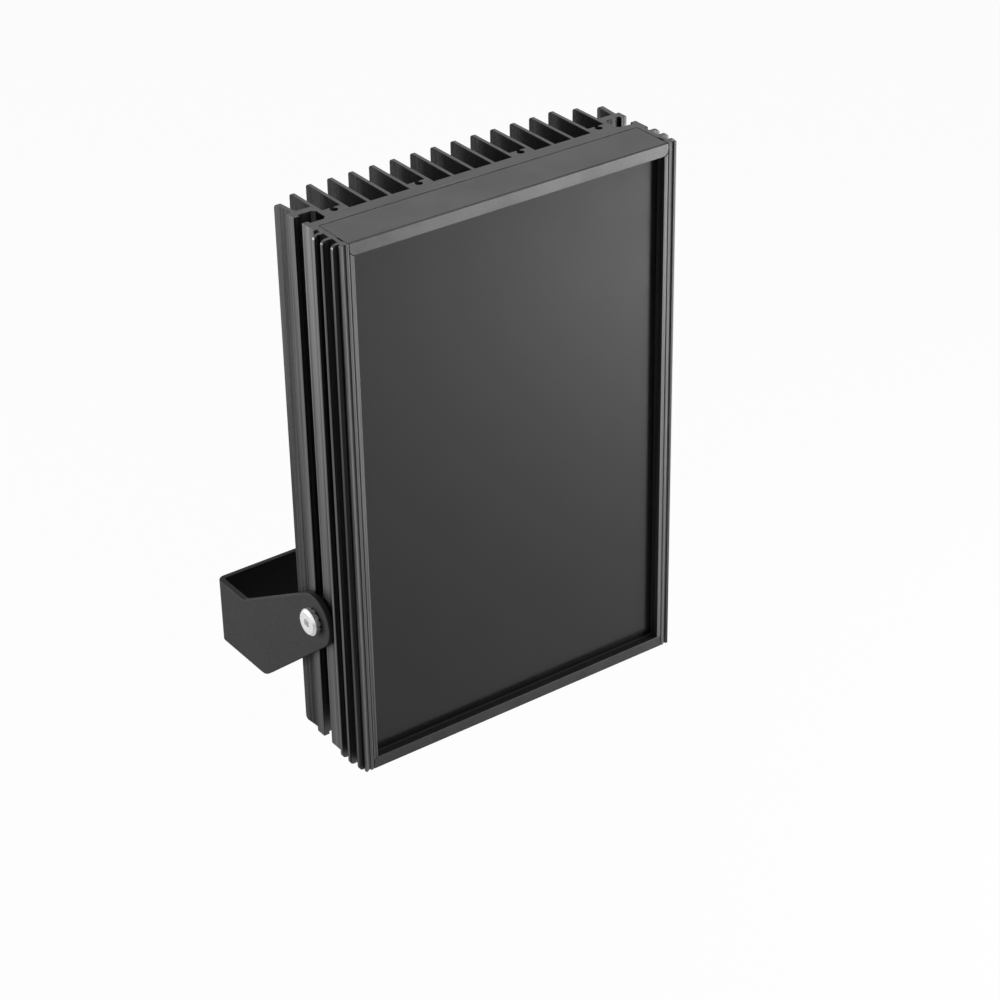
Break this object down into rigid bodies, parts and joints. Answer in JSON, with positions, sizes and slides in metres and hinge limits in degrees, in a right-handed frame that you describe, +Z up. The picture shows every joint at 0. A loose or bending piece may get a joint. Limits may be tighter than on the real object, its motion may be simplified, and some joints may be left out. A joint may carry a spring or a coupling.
{
  "type": "infrared illuminator",
  "caption": "Tall finned aluminium infrared lamp with a dark window, hung on bolts that run in side slots between the arms of a folded steel wall bracket.",
  "frame": {"origin": "centre of the bracket's wall face, midway between its two wall bolt holes", "axes": "+Z up along the lamp, +Y from the lamp towards the wall, +X across; the light leaves towards -Y"},
  "size_m": [0.196, 0.1235, 0.27],
  "materials": {
    "anodised_aluminium": "satin",
    "cap_aluminium": "satin",
    "bracket_paint": "matte",
    "window_acrylic": "gloss",
    "bolt_steel": "satin",
    "screw_steel": "satin",
    "washer_nylon": "matte",
    "seal_rubber": "matte",
    "gland_nylon": "satin",
    "emitter_board": "satin",
    "emitter_package": "gloss",
    "thermal_pad": "matte",
    "reflector_plastic": "gloss",
    "driver_board": "satin",
    "connector_plastic": "satin",
    "standoff_brass": "satin",
    "choke_ferrite": "matte",
    "capacitor_can": "satin"
  },
  "bodies": {
    "bracket": {"mounting_bracket": "bracket_paint"},
    "pivot_set": {"pivot_bolt_left": "bolt_steel", "pivot_bolt_right": "bolt_steel", "lock_washer_left": "screw_steel", "lock_washer_right": "screw_steel", "pivot_washer_left": "washer_nylon", "pivot_washer_right": "washer_nylon", "slot_nut_left": "bolt_steel", "slot_nut_right": "bolt_steel"},
    "lamp": {"housing_extrusion": "anodised_aluminium", "top_end_cap": "cap_aluminium", "bottom_end_cap": "cap_aluminium", "top_cap_gasket": "seal_rubber", "bottom_cap_gasket": "seal_rubber", "top_cap_screws": "screw_steel", "bottom_cap_screws": "screw_steel", "front_window": "window_acrylic", "window_gasket": "seal_rubber", "emitter_board_lower": "emitter_board", "emitter_board_upper": "emitter_board", "emitters_lower": "emitter_package", "emitters_upper": "emitter_package", "thermal_pad_lower": "thermal_pad", "thermal_pad_upper": "thermal_pad", "reflector_lower": "reflector_plastic", "reflector_upper": "reflector_plastic", "reflector_screws_lower": "screw_steel", "reflector_screws_upper": "screw_steel", "board_link": "connector_plastic", "driver_link": "connector_plastic", "driver_board": "driver_board", "driver_standoffs": "standoff_brass", "driver_screws": "screw_steel", "driver_choke": "choke_ferrite", "driver_capacitors": "capacitor_can", "terminal_block": "connector_plastic", "photocell": "emitter_package", "gland_body": "gland_nylon", "gland_ring": "seal_rubber", "gland_seal": "seal_rubber", "gland_nut": "gland_nylon"}
  },
  "joints": [
    {"name": "tilt", "type": "hinge", "parent": "bracket", "child": "pivot_set", "pos_m": [0, -0.0905, 0.0396], "axis": [1, 0, 0], "range_deg": [-45, 35]},
    {"name": "slot_slide", "type": "slide", "parent": "pivot_set", "child": "lamp", "axis": [0, 0, 1], "range_m": [-0.186, 0.054]}
  ]
}
